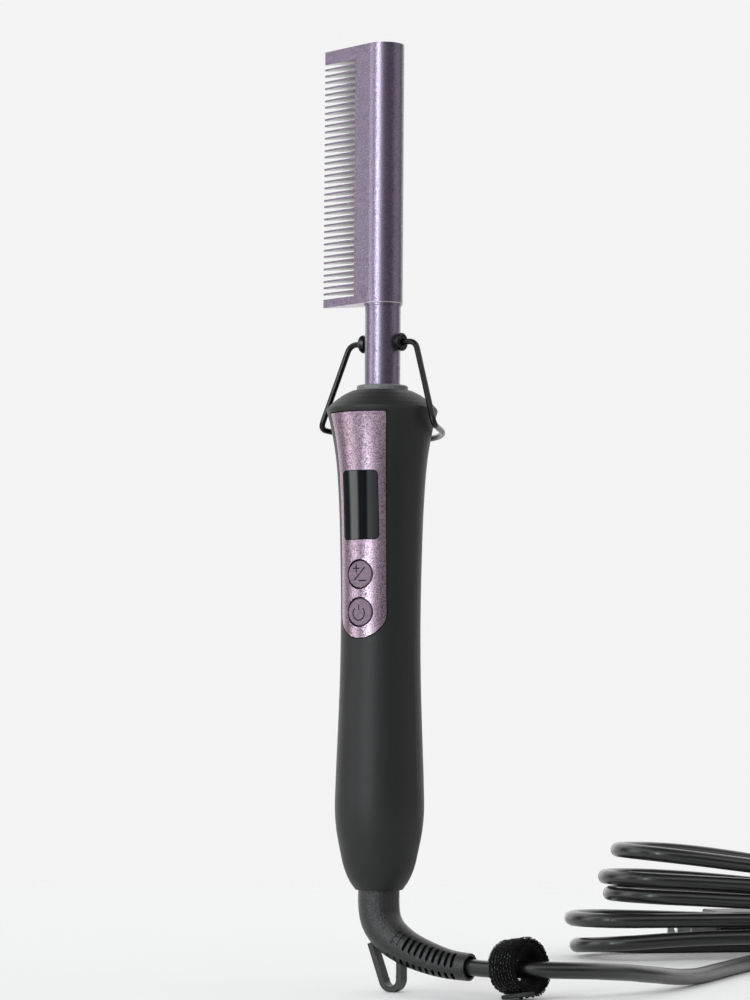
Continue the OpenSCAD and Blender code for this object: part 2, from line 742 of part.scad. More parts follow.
// Moulded plug: a blunt block with finger grooves and a tapered sleeve round the cord.
module plug_body() {
    color("#161617") in_hank_frame() translate([0, plug_y, plug_z]) difference() {
        union() {
            translate([plug_back, 0, 0]) rotate([0, -90, 0])
                cylinder(h = sleeve_len + 0.2, r1 = 3.6, r2 = 5.4);
            translate([plug_front, 0, 0]) rotate([0, 0, 90])
                rounded_block(block_w, block_h, 3, -plug_len, 0);
        }
        for (side = [-1, 1], k = [0 : groove_count - 1]) {
            translate([plug_front + 9 + groove_pitch * k, side * (block_w / 2 + 0.2), -block_h])
                cylinder(h = 2 * block_h, r = 0.9);
        }
        for (side = [-1, 1], k = [0 : groove_count - 1]) {
            translate([plug_back - 5 - sleeve_slot_pitch * k, 0, side * 5])
                cube([1.2, 8, 2.4], center = true);
        }
        for (side = [-1, 1]) {
            translate([plug_front - 1, side * blade_gap / 2 - blade_t / 2, -blade_w / 2])
                cube([blade_socket + 1, blade_t, blade_w]);
        }
    }
}

module plug_blades() {
    color("#c8a860") in_hank_frame() translate([plug_front, plug_y, plug_z])
        for (side = [-1, 1]) translate([0, side * blade_gap / 2, 0]) difference() {
            translate([-blade_len, -blade_t / 2, -blade_w / 2])
                cube([blade_len + blade_socket, blade_t, blade_w]);
            translate([-blade_hole_x, 0, 0]) rotate([90, 0, 0])
                cylinder(h = 4, r = blade_hole_r, center = true);
        }
}

// A band of hook-and-loop strap, wound to a ring round the cord. It leans on the edge of its end
// next to the elbow, so that the other end is a little higher.
tie_wall = 2.9;
tie_x = 53.4;
tie_y = 1.2;
tie_heading = -11;
tie_lean = 10;
tie_z = tie_d / 2 * cos(tie_lean) + tie_w / 2 * sin(tie_lean);
module hook_loop_tie() {
    color("#0c0c0d") on_axis() translate([tie_x, tie_y, tie_z])
        rotate([0, 90 - tie_lean, tie_heading]) difference() {
            cylinder(h = tie_w, d = tie_d, center = true);
            cylinder(h = tie_w + 2, d = tie_d - 2 * tie_wall, center = true);
        }
}

comb_head();
heater_element();
heater_shoes();
temperature_sensor();
heater_leads();
sensor_leads();
neck_tube();
neck_collar();
pivot_bosses();
stand_wire();
handle_shell();
control_panel();
display_window();
lcd_module();
circuit_board();
board_parts();
board_carrier();
carrier_screws();
tact_switches();
temperature_button();
temperature_plunger();
power_button();
power_plunger();
contact_block();
contact_springs();
mains_leads();
strain_relief();
swivel_clip();
swivel_contacts();
cord_tube();
cord_hank();
cord_tail();
plug_body();
plug_blades();
hook_loop_tie();
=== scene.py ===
import json
import random
from math import cos, pi, radians, sin

import bpy
from mathutils import Matrix, Vector


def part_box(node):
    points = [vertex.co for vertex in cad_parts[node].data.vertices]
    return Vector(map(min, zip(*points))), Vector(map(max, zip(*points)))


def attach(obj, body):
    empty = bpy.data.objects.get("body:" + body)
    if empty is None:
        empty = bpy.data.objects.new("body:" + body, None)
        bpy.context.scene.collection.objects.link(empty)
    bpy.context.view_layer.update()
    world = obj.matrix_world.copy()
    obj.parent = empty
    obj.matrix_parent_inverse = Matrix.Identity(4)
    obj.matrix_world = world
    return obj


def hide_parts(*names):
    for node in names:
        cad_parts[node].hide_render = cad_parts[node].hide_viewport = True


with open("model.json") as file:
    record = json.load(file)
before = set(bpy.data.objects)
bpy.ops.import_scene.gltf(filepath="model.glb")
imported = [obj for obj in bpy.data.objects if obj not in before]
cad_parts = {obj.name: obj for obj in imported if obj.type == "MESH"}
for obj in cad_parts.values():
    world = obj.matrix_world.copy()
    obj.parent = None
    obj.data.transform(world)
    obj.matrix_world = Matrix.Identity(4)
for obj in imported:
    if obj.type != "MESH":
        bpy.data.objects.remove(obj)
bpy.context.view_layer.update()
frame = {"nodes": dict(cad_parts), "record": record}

NODES = frame["nodes"]

# Sizes and places are in millimetres and MM turns them into metres. What is in metres says so.
MM = 0.001
# The upright axis of handle, neck and barrel, in metres in the row frame.
AXIS_X = -5.9 * MM
AXIS_Y = -1.3 * MM


def on_axis(x, y, z):
    """A point given in millimetres from the handle's axis, in the row frame in metres."""
    return Vector((AXIS_X + x * MM, AXIS_Y + y * MM, z * MM))


# ---- Camera: distances in metres, lens and film in millimetres ----

CAMERA_AZIMUTH = radians(33)
CAMERA_DISTANCE = 1.0667
CAMERA_HEIGHT = 0.096
CAMERA_PITCH = radians(3.58)
CAMERA_ROLL = radians(0.4)
CAMERA_PAN = radians(0.118)
FOCAL_LENGTH = 115.2
FILM_WIDTH = 36
FARTHEST_SEEN = 50
AWAY = Vector((-sin(CAMERA_AZIMUTH), cos(CAMERA_AZIMUTH), 0))


def add_camera():
    data = bpy.data.cameras.new("camera")
    data.lens = FOCAL_LENGTH
    data.sensor_width = FILM_WIDTH
    data.clip_end = FARTHEST_SEEN
    camera = bpy.data.objects.new("camera", data)
    bpy.context.scene.collection.objects.link(camera)
    turn = Matrix.Rotation(CAMERA_AZIMUTH + CAMERA_PAN, 4, "Z")
    tilt = Matrix.Rotation(pi / 2 + CAMERA_PITCH, 4, "X")
    roll = Matrix.Rotation(CAMERA_ROLL, 4, "Z")
    place = on_axis(0, 0, 0) - AWAY * CAMERA_DISTANCE + Vector((0, 0, CAMERA_HEIGHT))
    camera.matrix_world = Matrix.Translation(place) @ turn @ tilt @ roll
    bpy.context.scene.camera = camera


# ---- Mesh and curve helpers ----

def new_object(name, data):
    obj = bpy.data.objects.new(name, data)
    bpy.context.scene.collection.objects.link(obj)
    return obj


def mesh_object(name, points, faces, smooth=True):
    mesh = bpy.data.meshes.new(name)
    mesh.from_pydata([tuple(p) for p in points], [], faces)
    mesh.polygons.foreach_set("use_smooth", [smooth] * len(faces))
    mesh.update()
    return new_object(name, mesh)


def add_skin(faces, first, rings, sides):
    """Adds the sides and the two ends of a bar, whose rings of points start at the index first."""
    for i in range(rings - 1):
        low = first + i * sides
        for k in range(sides):
            m = (k + 1) % sides
            faces.append((low + k, low + m, low + sides + m, low + sides + k))
    faces.append(tuple(first + k for k in reversed(range(sides))))
    faces.append(tuple(first + (rings - 1) * sides + k for k in range(sides)))


def add_tube(points, faces, path, radius, sides):
    """Adds a thin closed tube along a short path to a mesh's points and faces."""
    first = len(points)
    last = len(path) - 1
    for i, p in enumerate(path):
        along = (path[min(i + 1, last)] - path[max(i - 1, 0)]).normalized()
        side = along.orthogonal().normalized()
        up = along.cross(side)
        for k in range(sides):
            a = 2 * pi * k / sides
            points.append(p + radius * (cos(a) * side + sin(a) * up))
    add_skin(faces, first, len(path), sides)


def smooth_route(points, steps):
    """A Catmull-Rom curve through the points."""
    route = []
    last = len(points) - 1
    for i in range(last):
        a = points[max(i - 1, 0)]
        b = points[i]
        c = points[i + 1]
        d = points[min(i + 2, last)]
        for k in range(steps):
            t = k / steps
            route.append(0.5 * (2 * b + (c - a) * t + (2 * a - 5 * b + 4 * c - d) * t ** 2
                                + (3 * b - a - 3 * c + d) * t ** 3))
    route.append(points[last])
    return route


def curve_object(name, points, radius, resolution=6, closed=False):
    """A round tube along one smooth spline."""
    data = bpy.data.curves.new(name, "CURVE")
    data.dimensions = "3D"
    data.bevel_depth = radius
    data.bevel_resolution = resolution
    data.use_fill_caps = not closed
    spline = data.splines.new("POLY")
    spline.use_cyclic_u = closed
    spline.points.add(len(points) - 1)
    for target, p in zip(spline.points, points):
        target.co = (*p, 1)
    spline.use_smooth = True
    return new_object(name, data)


# ---- Shader helpers ----

class Nodes:
    """Builds a node tree in a few calls."""

    def __init__(self, tree):
        self.tree = tree

    def node(self, kind, **settings):
        made = self.tree.nodes.new(kind)
        for key, value in settings.items():
            setattr(made, key, value)
        return made

    def link(self, source, target):
        self.tree.links.new(source, target)

    def fill(self, sockets, values):
        """Gives each socket its value: a number or a tuple is set, and an output is linked."""
        for socket, value in zip(sockets, values):
            if isinstance(value, (int, float, tuple)):
                socket.default_value = value
            else:
                self.link(value, socket)

    def ramp(self, value, stops):
        """Colours along a value; each stop is (place, colour)."""
        made = self.node("ShaderNodeValToRGB")
        elements = made.color_ramp.elements
        for i, (at, color) in enumerate(stops):
            element = elements[i] if i < 2 else elements.new(1)
            element.position = at
            element.color = (*color, 1)
        self.link(value, made.inputs["Fac"])
        return made.outputs["Color"]

    def span(self, value, low, high, start=0, end=1):
        """Maps a value between start and end smoothly to the range from low to high."""
        made = self.node("ShaderNodeMapRange", interpolation_type="SMOOTHSTEP")
        sockets = [made.inputs[name] for name in ("Value", "From Min", "From Max", "To Min", "To Max")]
        self.fill(sockets, (value, start, end, low, high))
        return made.outputs["Result"]

    def math(self, operation, *values):
        made = self.node("ShaderNodeMath", operation=operation)
        self.fill(made.inputs, values)
        return made.outputs["Value"]

    def vector(self, operation, *values):
        made = self.node("ShaderNodeVectorMath", operation=operation)
        self.fill(made.inputs, values)
        return made.outputs["Vector"]

    def split(self, vector):
        """The outputs X, Y and Z of a vector or a colour."""
        made = self.node("ShaderNodeSeparateXYZ")
        self.link(vector, made.inputs["Vector"])
        return made.outputs

    def mix(self, factor, a, b, blend="MIX"):
        """Colour a where the factor is 0 and colour b, or the two blended, where it is 1."""
        made = self.node("ShaderNodeMixRGB", blend_type=blend)
        self.fill([made.inputs[name] for name in ("Fac", "Color1", "Color2")], (factor, a, b))
        return made.outputs["Color"]


MATERIALS = {}


class Shader(Nodes):
    """A material around one Principled BSDF, patterned by the place on the object. Scales of noise
    and cells are per metre, and heights of bumps are in metres."""

    SOCKETS = {"color": "Base Color", "metallic": "Metallic", "roughness": "Roughness",
               "specular": "Specular IOR Level", "coat": "Coat Weight",
               "coat_roughness": "Coat Roughness", "coat_ior": "Coat IOR",
               "sheen": "Sheen Weight", "sheen_roughness": "Sheen Roughness"}

    def __init__(self, name):
        MATERIALS[name] = self.material = bpy.data.materials.new(name)
        self.material.use_nodes = True
        super().__init__(self.material.node_tree)
        self.bsdf = self.tree.nodes["Principled BSDF"]
        self.place = self.node("ShaderNodeTexCoord").outputs["Object"]

    def set(self, **values):
        """Sets what is the same all over the surface on the shader's own sockets."""
        for key, value in values.items():
            if key == "color":
                value = (*value, 1)
            self.bsdf.inputs[self.SOCKETS[key]].default_value = value

    def vary(self, key, source):
        """Links what changes over the surface."""
        self.link(source, self.bsdf.inputs[self.SOCKETS[key]])

    def noise(self, scale, detail=3, roughness=0.55):
        made = self.node("ShaderNodeTexNoise")
        made.inputs["Scale"].default_value = scale
        made.inputs["Detail"].default_value = detail
        made.inputs["Roughness"].default_value = roughness
        self.link(self.place, made.inputs["Vector"])
        return made.outputs["Fac"]

    def cells(self, scale, output="Color"):
        made = self.node("ShaderNodeTexVoronoi")
        made.inputs["Scale"].default_value = scale
        self.link(self.place, made.inputs["Vector"])
        return made.outputs[output]

    def mottle(self, dark, light, scale, detail=3, start=0.3, end=0.7):
        """Lets the colour wander between two shades in soft patches."""
        self.vary("color", self.ramp(self.noise(scale, detail), [(start, dark), (end, light)]))

    def scuff(self, low, high, scale, detail=2):
        """Lets the roughness wander between two values."""
        self.vary("roughness", self.span(self.noise(scale, detail), low, high))

    def bump(self, height, distance, strength=1.0):
        made = self.node("ShaderNodeBump")
        made.inputs["Distance"].default_value = distance
        made.inputs["Strength"].default_value = strength
        self.link(height, made.inputs["Height"])
        self.link(made.outputs["Normal"], self.bsdf.inputs["Normal"])

    def flakes(self, grains, tilt):
        """Turns the surface a little its own way in each grain, as a metallic lacquer's flakes lie."""
        lean = self.vector("SUBTRACT", grains, (0.5, 0.5, 0.5))
        lean = self.vector("MULTIPLY", lean, (tilt, tilt, tilt))
        normal = self.node("ShaderNodeNewGeometry").outputs["Normal"]
        turned = self.vector("NORMALIZE", self.vector("ADD", normal, lean))
        self.link(turned, self.bsdf.inputs["Normal"])


# ---- Materials ----

FLAKES_A_METRE = 3900
SPECKS_A_METRE = 1500

# The slots between the teeth: their roots and their open ends, measured from the axis towards the
# tips, and the lowest and the highest slot's outer edges.
SLOT_ROOT = 8.4
SLOT_END = 23
SLOTS_FROM = 231.3
SLOTS_TO = 311.9
# The rounded faces of the roots lie within this of SLOT_ROOT.
ROOT_BAND = 1.2
# Grey levels of the slot metal at the roots and at the open ends; its fall towards the roots is painted
# shade deep in the slots.
ROOT_SHADED_GREY = 0.04
END_SHADED_GREY = 0.4
# How squarely a slot's wall faces up or down, and its root faces the tips: 1 is fully.
WALL_FACING = 0.5
ROOT_FACING = 0.3


def shade(color, factor):
    return tuple(c * factor for c in color)


def slot_faces(s):
    """The walls and the roots of the slots between the teeth: speckled metal, with painted shade
    that darkens it deep inside. Gives the mask and the colour."""
    place = s.split(s.place)
    facing = s.split(s.node("ShaderNodeNewGeometry").outputs["True Normal"])
    along = s.math("MULTIPLY", s.math("GREATER_THAN", place["Z"], SLOTS_FROM * MM),
                   s.math("LESS_THAN", place["Z"], SLOTS_TO * MM))
    outside = s.math("MULTIPLY", along, s.math("LESS_THAN", place["X"], AXIS_X - SLOT_ROOT * MM))
    wall = s.math("GREATER_THAN", s.math("ABSOLUTE", facing["Z"]), WALL_FACING)
    root = s.math("MULTIPLY", s.math("LESS_THAN", facing["X"], -ROOT_FACING),
                  s.math("GREATER_THAN", place["X"], AXIS_X - (SLOT_ROOT + ROOT_BAND) * MM))
    mask = s.math("MULTIPLY", outside, s.math("MAXIMUM", wall, root))
    # Painted shade: the metal's grey falls from the open ends down to the roots.
    grey = s.span(place["X"], END_SHADED_GREY, ROOT_SHADED_GREY, AXIS_X - SLOT_END * MM, AXIS_X - SLOT_ROOT * MM)
    speckle = s.span(s.noise(3200, 2), 0.5, 1.5, 0.4, 0.6)
    return mask, s.math("MULTIPLY", grey, speckle)


def pearl(name, color, contrast, roughness, tilt, coat, coat_roughness, coat_ior=1.5, bare=None):
    """Metallic lacquer with fine flakes that catch the light one by one. Bare gives the places
    that are left as metal, and the colour there."""
    s = Shader(name)
    grains = s.cells(FLAKES_A_METRE)
    s.set(metallic=0.9, roughness=roughness, coat_roughness=coat_roughness, coat_ior=coat_ior)
    tone = s.ramp(s.split(grains)["X"],
                  [(0.1, shade(color, 1 - contrast)), (0.9, shade(color, 1 + contrast))])
    glint = s.math("MULTIPLY", s.split(grains)["Y"], 2 * coat)
    if bare:
        # The bare metal's colour carries the painted shade of the slots.
        mask, shaded_metal_color = bare(s)
        tone = s.mix(mask, tone, shaded_metal_color)
        glint = s.math("MULTIPLY", glint, s.math("SUBTRACT", 1, mask))
    s.vary("color", tone)
    s.vary("coat", glint)
    s.flakes(grains, tilt)


def soft_touch(name):
    """Rubbery paint: very dark grey, matte, with a faint dusting."""
    s = Shader(name)
    s.set(sheen=0.02, sheen_roughness=0.5, specular=0.38)
    s.mottle((0.0065, 0.0065, 0.0066), (0.009, 0.009, 0.0092), 60)
    s.scuff(0.46, 0.58, 900)
    s.bump(s.noise(4200, 3), 0.00003, 0.6)


def grained(name, color, roughness, grain, depth, specular=0.5):
    """Moulded plastic or rubber with a fine spark-eroded grain."""
    s = Shader(name)
    s.set(specular=specular)
    s.mottle(shade(color, 0.82), shade(color, 1.2), grain / 8, 2)
    s.scuff(roughness - 0.06, roughness + 0.06, grain / 3)
    s.bump(s.noise(grain, 3, 0.65), depth)


def vinyl(name, color, roughness, coat=0.0):
    """Extruded vinyl: smooth, with a slight waviness and faint scuffs."""
    s = Shader(name)
    s.set(coat=coat, coat_roughness=0.15)
    s.mottle(shade(color, 0.9), shade(color, 1.15), 120, end=0.75)
    s.scuff(roughness - 0.05, roughness + 0.08, 700, 3)
    s.bump(s.noise(160, 2), 0.00006, 0.12)


def speckled(name, dark, light, roughness):
    """Plastic with pale specks moulded in."""
    s = Shader(name)
    s.set(roughness=roughness)
    s.vary("color", s.ramp(s.cells(SPECKS_A_METRE, "Distance"), [(0.12, light), (0.3, dark)]))
    s.bump(s.noise(SPECKS_A_METRE * 2, 2), 0.00003)


def metal(name, color, roughness, grain):
    """Plain metal with fine tooling marks."""
    s = Shader(name)
    s.set(metallic=1.0)
    s.mottle(shade(color, 0.85), color, grain / 4)
    s.scuff(roughness - 0.07, roughness + 0.1, grain / 2)
    s.bump(s.noise(grain, 2), 0.00001)


def lacquered_wire(name):
    """Glossy black lacquer that follows the slight unevenness of the wire."""
    s = Shader(name)
    s.set(color=(0.003, 0.003, 0.0032), specular=0.3)
    s.scuff(0.2, 0.34, 500)
    s.bump(s.noise(1500, 2), 0.00006, 0.6)


def dark_window(name):
    """Smoked, clear-coated plastic, almost black."""
    s = Shader(name)
    s.set(coat=0.3, coat_roughness=0.02)
    s.mottle((0.0025, 0.004, 0.0055), (0.004, 0.006, 0.008), 40, 1)
    s.scuff(0.03, 0.07, 300)
    s.bump(s.noise(30, 1), 0.00002, 0.2)


def hook_fabric(name):
    """Black woven tape, dull and dry."""
    s = Shader(name)
    s.set(roughness=0.95, sheen=0.06, sheen_roughness=0.4, specular=0.12)
    s.mottle((0.001, 0.001, 0.0011), (0.005, 0.005, 0.0053), 1500, start=0.35, end=0.75)
    s.bump(s.noise(2600, 3), 0.0002)


COATING_COLOR = (0.188, 0.145, 0.218)
COATING = {"contrast": 0.3, "roughness": 0.35, "tilt": 0.12, "coat": 0.5, "coat_roughness": 0.34,
           "coat_ior": 1.9}


def make_materials():
    pearl("comb_coating", COATING_COLOR, **COATING, bare=slot_faces)
    pearl("neck_coating", COATING_COLOR, **COATING)
    pearl("panel_lacquer", (0.335, 0.236, 0.308), contrast=0.6, roughness=0.32, tilt=0.11,
          coat=0.5, coat_roughness=0.28)
    pearl("button_lacquer", (0.187, 0.135, 0.174), contrast=0.25, roughness=0.5, tilt=0.1,
          coat=0, coat_roughness=0.2)
    speckled("collar_plastic", (0.13, 0.13, 0.132), (0.35, 0.35, 0.35), roughness=0.5)
    lacquered_wire("wire_black")
    soft_touch("soft_touch")
    dark_window("window_glass")
    grained("display_grey", (0.16, 0.18, 0.16), roughness=0.3, grain=2000, depth=0.00001)
    grained("board_green", (0.02, 0.12, 0.06), roughness=0.45, grain=2500, depth=0.00002)
    grained("part_black", (0.02, 0.02, 0.022), roughness=0.5, grain=2500, depth=0.00002)
    metal("screw_steel", (0.6, 0.6, 0.61), roughness=0.35, grain=2400)
    grained("ceramic", (0.75, 0.72, 0.66), roughness=0.6, grain=3000, depth=0.00002)
    metal("aluminium_bare", (0.62, 0.62, 0.63), roughness=0.45, grain=3200)
    vinyl("sensor_glass", (0.2, 0.1, 0.05), roughness=0.3)
    vinyl("lead_sleeve", (0.6, 0.6, 0.57), roughness=0.5)
    grained("plunger_white", (0.7, 0.7, 0.66), roughness=0.5, grain=2500, depth=0.00001)
    grained("laminate", (0.5, 0.4, 0.25), roughness=0.6, grain=1800, depth=0.00002)
    metal("contact_brass", (0.78, 0.6, 0.3), roughness=0.28, grain=2600)
    grained("relief_rubber", (0.004, 0.004, 0.0041), roughness=0.32, grain=2000, depth=0.00025,
            specular=0.58)
    vinyl("cord_vinyl", (0.006, 0.006, 0.0062), roughness=0.3, coat=0.3)
    grained("plug_vinyl", (0.014, 0.014, 0.0145), roughness=0.42, grain=3000, depth=0.00003)
    hook_fabric("tie_fabric")
    grained("tie_backing", (0.016, 0.016, 0.0165), roughness=0.7, grain=2600, depth=0.00004)
    grained("tie_hook", (0.002, 0.002, 0.002), roughness=0.16, grain=3000, depth=0.00001,
            specular=0.45)
    # The signs' strokes are plain dark grey.
    grained("sign_dark", (0.008, 0.005, 0.007), roughness=0.6, grain=3000, depth=0.00001,
            specular=0.2)
    grained("joint_shadow", (0.002, 0.002, 0.002), roughness=0.9, grain=3000, depth=0.00001,
            specular=0.1)


# Nodes whose finish isn't the one that their slot is named after.
OWN_FINISH = {"temperature_button": "button_lacquer", "power_button": "button_lacquer",
              "plug_blades": "screw_steel"}


def dress_nodes():
    for part in frame["record"]["subparts"]:
        obj = NODES[part["node"]]
        finish = OWN_FINISH.get(part["node"], part["material_slot"])
        obj.data.materials.clear()
        obj.data.materials.append(MATERIALS[finish])


# ---- Joint lines round the panel and what sits in it: black ribbons in the gaps, painted shade ----

JOINT_WIDTH = 0.24
JOINT_SUNK = 0.08
# How squarely a face looks away from the axis, to be one of the outer ones: 1 is fully.
OUTER_FACING = 0.5


def from_axis(point):
    """The level direction from the handle's axis to a point."""
    return Vector((point.x - AXIS_X, point.y - AXIS_Y, 0)).normalized()


def outlines(node):
    """The closed edge lines of a node's outer face, as lists of points. Corners of two faces are the
    same one if they agree to a micrometre."""
    mesh = NODES[node].data
    at = [tuple(round(c, 6) for c in v.co) for v in mesh.vertices]
    ends = {}
    for face in mesh.polygons:
        if face.normal.dot(from_axis(face.center)) > OUTER_FACING:
            corners = [at[i] for i in face.vertices]
            for a, b in zip(corners, corners[1:] + corners[:1]):
                if ends.get(b) and a in ends[b]:
                    ends[b].remove(a)
                else:
                    ends.setdefault(a, []).append(b)
    lines = []
    starts = [a for a in ends if ends[a]]
    for start in starts:
        line = []
        here = start
        while ends[here]:
            line.append(Vector(here))
            here = ends[here].pop()
        if line:
            lines.append(line)
    return lines


def make_joint_shade_lines():
    for i, line in enumerate(outlines("control_panel")):
        sunk = [p - from_axis(p) * JOINT_SUNK * MM for p in line]
        # Each ribbon is painted shade: a black line where the gap falls in shade.
        joint = curve_object(f"panel_joint_shade_{i}", sunk, JOINT_WIDTH / 2 * MM, 2, closed=True)
        joint.data.materials.append(MATERIALS["joint_shadow"])
        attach(joint, "handle")


# ---- Head rim: a thin ring of light bare metal a little above the foot of the barrel, a painted highlight on the edge there ----

RIM_R = 6.6
RIM_RAISED = 0.8
RIM_TUBE_R = 0.14


def make_rim_highlight():
    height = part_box("comb_head")[0][2] / MM + RIM_RAISED
    ring = [on_axis(RIM_R * cos(radians(a)), RIM_R * sin(radians(a)), height) for a in range(0, 360, 5)]
    rim = curve_object("barrel_rim_highlight", ring, RIM_TUBE_R * MM, 3, closed=True)
    # The light metal ring paints the highlight of the barrel's edge.
    rim.data.materials.append(MATERIALS["aluminium_bare"])
    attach(rim, "handle")


# ---- Signs on the two buttons: flat strokes inlaid in the lacquer ----

SIGN_STROKE = 0.44
SIGN_PROUD = 0.02
SIGN_DEPTH = 0.1
# The corners of a stroke's section: (y, side of the stroke).
SIGN_CORNERS = [(-SIGN_PROUD, 1), (-SIGN_PROUD, -1), (SIGN_DEPTH, -1), (SIGN_DEPTH, 1)]
# Strokes from a button's middle, x to the right and z up. The power sign's ring is open at its top,
# by RING_GAP degrees to each side.
TEMPERATURE_SIGN = [
    [(-2.75, 1.97), (-0.15, 1.97)], [(-1.45, 0.52), (-1.45, 3.42)],
    [(-2.16, -1.97), (1.88, 2.31)], [(-0.55, -2.1), (2.5, -2.1)]]
RING_X = -0.45
RING_Z = -0.4
RING_R = 2.25
RING_GAP = 44
POWER_SIGN = [
    [(RING_X, 0.7), (RING_X, 2.4)],
    [(RING_X + RING_R * sin(radians(a)), RING_Z + RING_R * cos(radians(a)))
     for a in range(RING_GAP, 361 - RING_GAP, 8)]]


def make_sign(name, button, strokes):
    low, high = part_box(button)
    middle = Vector(((low[0] + high[0]) / 2, low[1], (low[2] + high[2]) / 2))
    points, faces = [], []
    for stroke in strokes:
        first = len(points)
        last = len(stroke) - 1
        for i, (x, z) in enumerate(stroke):
            x0, z0 = stroke[max(i - 1, 0)]
            x1, z1 = stroke[min(i + 1, last)]
            aside = Vector((z0 - z1, 0, x1 - x0)).normalized() * SIGN_STROKE / 2
            for y, way in SIGN_CORNERS:
                points.append(middle + (Vector((x, y, z)) + way * aside) * MM)
        add_skin(faces, first, len(stroke), len(SIGN_CORNERS))
    sign = mesh_object(name, points, faces, smooth=False)
    sign.data.materials.append(MATERIALS["sign_dark"])
    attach(sign, button)


# ---- Cord: a long bow down to the floor, and a loose hank of five turns behind the comb ----

CORD_R = 2.75
CORD_START = (33.5, 0, 9.72)
LEAD_ROUTE = [
    (40, 0, 9.4), (47, 0.3, 9.4), (54, 1.7, 9.7), (60.4, 4.5, 9.7), (67.1, 10, 9.5),
    (71.9, 17.4, 9.1), (74.8, 25.6, 8.4), (76.3, 34.3, 7.6), (76.9, 43, 6.6), (76.9, 51.8, 5.7),
    (76.3, 60.5, 4.7), (75.4, 69.3, 3.9), (74.3, 78, 3.3), (73, 86.6, 2.9), (71.6, 95.3, 2.75),
    (70, 103.9, 2.75), (68.5, 112.5, 2.75), (66.9, 121.2, 2.75), (65.4, 129.8, 2.75),
    (63.9, 138.4, 2.75), (62.5, 147.1, 2.75), (61.3, 155.8, 2.75), (60.3, 164.5, 2.75),
    (59.7, 173.3, 2.75), (59.5, 182, 2.75), (60, 190.8, 2.75), (61.5, 199.4, 2.75),
    (64.4, 207.7, 2.75)]
ROUTE_STEPS = 3
# The hank and the tail are given in a frame turned about the axis by HANK_ANGLE: x runs along the
# hank, and y away from the comb.
HANK_ANGLE = radians(45)
TAIL_ROUTE = [
    (208.5, 102.7, 33), (216, 102.8, 32.6), (223.5, 103.3, 31.6), (231, 104.6, 29.8),
    (238.3, 107.3, 27.3), (244.9, 111.8, 24.1), (250.2, 118, 20.6), (253.6, 125.6, 16.9),
    (254.5, 133.5, 13.4), (252.7, 141.2, 10.3), (248.4, 147.9, 7.7), (242.3, 153.1, 5.7),
    (235, 156.8, 4.6), (227.8, 159.3, 4.9), (220.8, 160.5, 6.1), (214, 160.8, 7.2)]
HANK_FROM = 98
HANK_NEAR = 100
HANK_LENGTH = 126
HANK_WIDTH = 46
HANK_TURNS = 5
STEPS_A_TURN = 40
# The cord climbs onto the first turn between these shares of it, and from there by a layer a turn.
CLIMB_FROM = 0.45
CLIMB_TO = 0.85
FIRST_RISE = 5.95
LAYER_RISE = 5.85
# For each turn, how far its two ends fall short of the hank's, and how high its left end springs.
LEFT_SHORT = [2, 0, 15, 13, 18]
RIGHT_SHORT = [0, 3, 0, 4, 1, 0]
SPRING = [0, 1.6, 5, 5.4, 9.6]
# An end's shortening changes this share of a turn early, while the cord is at the other end.
LEFT_EARLY = 0.15
RIGHT_EARLY = 0.65
# The shares of a turn over which it springs up and comes down again.
SPRING_UP = (0.1, 0.52)
SPRING_DOWN = (0.62, 1)


def hank_to_axis(x, y, z):
    return on_axis(x * cos(HANK_ANGLE) - y * sin(HANK_ANGLE),
                   x * sin(HANK_ANGLE) + y * cos(HANK_ANGLE), z)


def ease(start, end, t):
    """0 before start, 1 after end, and a smooth rise between them."""
    s = min(max((t - start) / (end - start), 0), 1)
    return s * s * (3 - 2 * s)


def stepped(values, t):
    """The value of the turn that t is in. The first half of a turn changes to it smoothly."""
    turn = min(int(t), len(values) - 1)
    before = values[max(turn - 1, 0)]
    return before + (values[turn] - before) * ease(0, 0.5, t - turn)


def racetrack(share, radius, left, right, middle):
    """A point at a share of one turn: right fold, far run, left fold, near run."""
    run = right - left
    fold = pi * radius
    way = share * 2 * (run + fold)
    if way < fold:
        angle = way / radius - pi / 2
        return right + radius * cos(angle), middle + radius * sin(angle)
    way -= fold
    if way < run:
        return right - way, middle + radius
    way -= run
    if way < fold:
        angle = way / radius + pi / 2
        return left + radius * cos(angle), middle + radius * sin(angle)
    return left + way - fold, middle - radius


def hank_points():
    """The first turn lies on the floor, and the others climb on it and spring apart at the left."""
    half = HANK_WIDTH / 2
    points = []
    for i in range(HANK_TURNS * STEPS_A_TURN):
        t = (i + 0.5) / STEPS_A_TURN
        share = t % 1
        left = HANK_FROM + half + stepped(LEFT_SHORT, t + LEFT_EARLY)
        right = HANK_FROM + HANK_LENGTH - half - stepped(RIGHT_SHORT, t + RIGHT_EARLY)
        height = CORD_R + FIRST_RISE * ease(CLIMB_FROM, CLIMB_TO, t)
        height += LAYER_RISE * max(0, t - CLIMB_TO)
        height += SPRING[int(t)] * ease(*SPRING_UP, share) * (1 - ease(*SPRING_DOWN, share))
        x, y = racetrack(share, half - CORD_R, left, right, HANK_NEAR + half)
        points.append(hank_to_axis(x, y, height))
    return points


def make_cord(tie):
    start = on_axis(*CORD_START)
    lead = [start] + [on_axis(*p) for p in LEAD_ROUTE]
    tail = [hank_to_axis(*p) for p in TAIL_ROUTE]
    route = smooth_route(lead, ROUTE_STEPS) + hank_points() + smooth_route(tail, ROUTE_STEPS)
    cord = curve_object("mains_cord", route, CORD_R * MM)
    cord.data.materials.append(MATERIALS["cord_vinyl"])
    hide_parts("cord_tube", "cord_hank", "cord_tail")
    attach(cord, "cord_swivel")


# ---- Tie: a strap of woven hook tape, wound on itself round the cord ----

